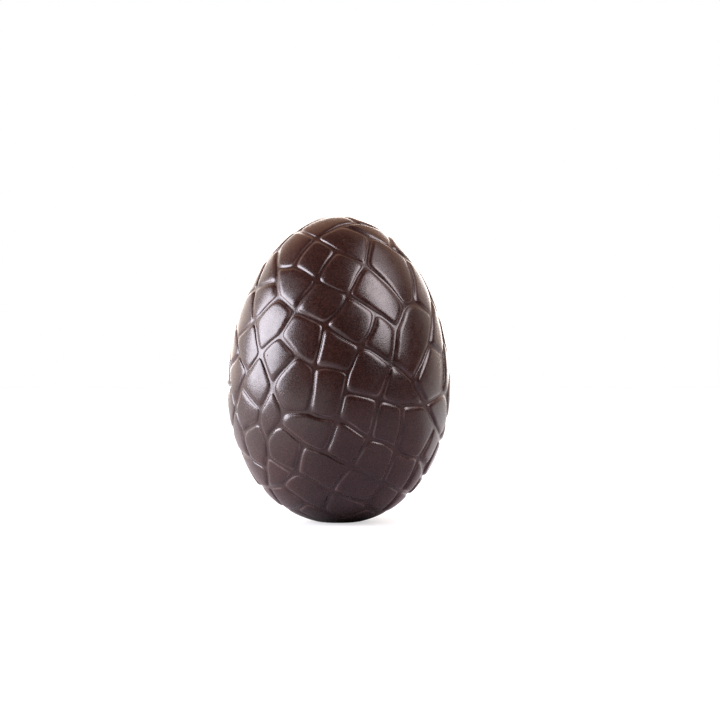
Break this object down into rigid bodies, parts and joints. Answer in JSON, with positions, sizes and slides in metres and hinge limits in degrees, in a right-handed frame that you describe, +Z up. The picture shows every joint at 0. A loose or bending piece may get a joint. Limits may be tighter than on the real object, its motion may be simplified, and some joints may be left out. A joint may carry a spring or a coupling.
{
  "type": "chocolate egg",
  "caption": "Moulded dark chocolate egg with crazy-paving relief all over, standing upright on a small flat foot at its broad end.",
  "frame": {"origin": "centre of the flat foot at the egg's broad end", "axes": "+Z up along the egg's long axis, from the broad end to the narrow tip; -Y is the side that faces a viewer in the front view"},
  "size_m": [0.0876, 0.0876, 0.12],
  "materials": {
    "chocolate": "satin"
  },
  "bodies": {
    "root": {"egg": "chocolate"}
  },
  "joints": []
}
